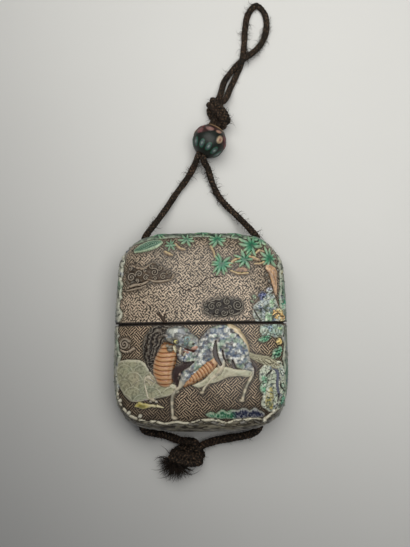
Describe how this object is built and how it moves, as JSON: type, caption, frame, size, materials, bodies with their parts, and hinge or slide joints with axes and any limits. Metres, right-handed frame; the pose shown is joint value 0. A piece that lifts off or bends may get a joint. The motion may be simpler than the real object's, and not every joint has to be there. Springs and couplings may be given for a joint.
{
  "type": "inro case",
  "caption": "Small flat rounded case in two fitted sections, carved in relief with a kirin, rocks and maple, strung on a silk cord with a sliding bead.",
  "frame": {"origin": "middle of the flat spot on the back of the case, which it lies on", "axes": "+Z out of the carved face, +Y towards the bead and the hanging loop, +X to the right of the face"},
  "size_m": [0.0638, 0.1906, 0.026],
  "materials": {
    "lid_porcelain": "moulded and carved porcelain with a dark key-fret drawn over a buff ground and coloured enamels, a soft gloss",
    "case_porcelain": "moulded and carved porcelain with a dark key-fret drawn over a buff ground and coloured enamels, a soft gloss",
    "bead_enamel": "dark glazed bead with pink, cream and green enamel flowers",
    "silk": "dark brown braided silk, matt and worn, frayed at its ends"
  },
  "bodies": {
    "root": {"lid": "lid_porcelain", "lower_case": "case_porcelain", "ojime_bead": "bead_enamel", "cord": "silk"}
  },
  "joints": []
}
